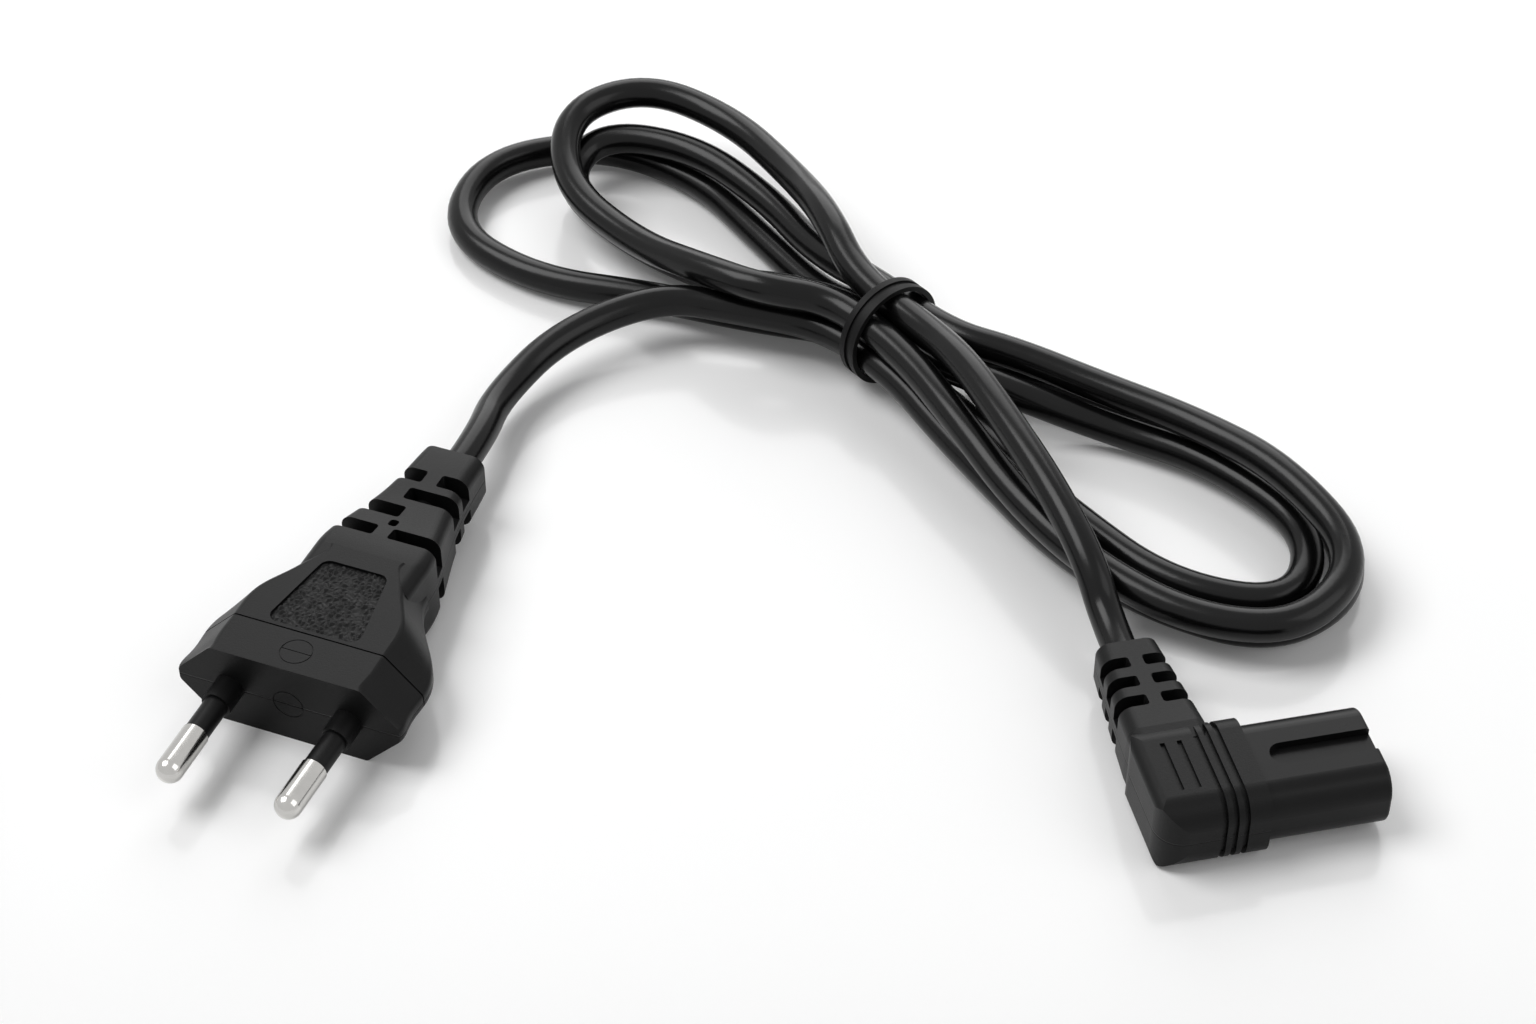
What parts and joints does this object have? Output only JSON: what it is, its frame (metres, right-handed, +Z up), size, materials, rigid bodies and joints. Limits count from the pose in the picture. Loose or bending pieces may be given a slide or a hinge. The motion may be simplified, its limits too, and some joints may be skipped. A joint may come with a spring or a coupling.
{
  "type": "power cord",
  "caption": "Black power cord with a flat two-pin plug, a right-angle two-hole connector and slotted strain reliefs, folded into loops and held by a band tie.",
  "frame": {"origin": "on the surface that the cord lies on, at the middle of the box round the plug, the connector and the tie", "axes": "+Z up; +X to the right in the picture, from the plug towards the connector; +Y away from the camera"},
  "size_m": [0.1724, 0.1702, 0.0185],
  "materials": {
    "housing": "black moulded PVC, fine grain",
    "nose": "black, semi-gloss",
    "bridge": "off-white hard plastic",
    "pin_metal": "bright nickel plate",
    "sleeve": "black, satin",
    "contact_metal": "bare brass",
    "core_brown": "brown PVC",
    "core_blue": "blue PVC",
    "copper": "bare copper",
    "tie": "black, matte",
    "cord_jacket": "black PVC, satin"
  },
  "bodies": {
    "root": {"plug_housing": "housing", "connector_housing": "housing", "nose_left": "nose", "nose_right": "nose", "plug_bridge": "bridge", "pin_left": "pin_metal", "pin_right": "pin_metal", "pin_sleeve_left": "sleeve", "pin_sleeve_right": "sleeve", "contact_left": "contact_metal", "contact_right": "contact_metal", "plug_core_left": "core_brown", "plug_core_right": "core_blue", "connector_core_left": "core_blue", "connector_core_right": "core_brown", "plug_conductor_left": "copper", "plug_conductor_right": "copper", "connector_conductor_left": "copper", "connector_conductor_right": "copper", "cord_tie": "tie", "cord_plug_lead": "cord_jacket", "cord_hank": "cord_jacket", "cord_connector_lead": "cord_jacket"}
  },
  "joints": []
}
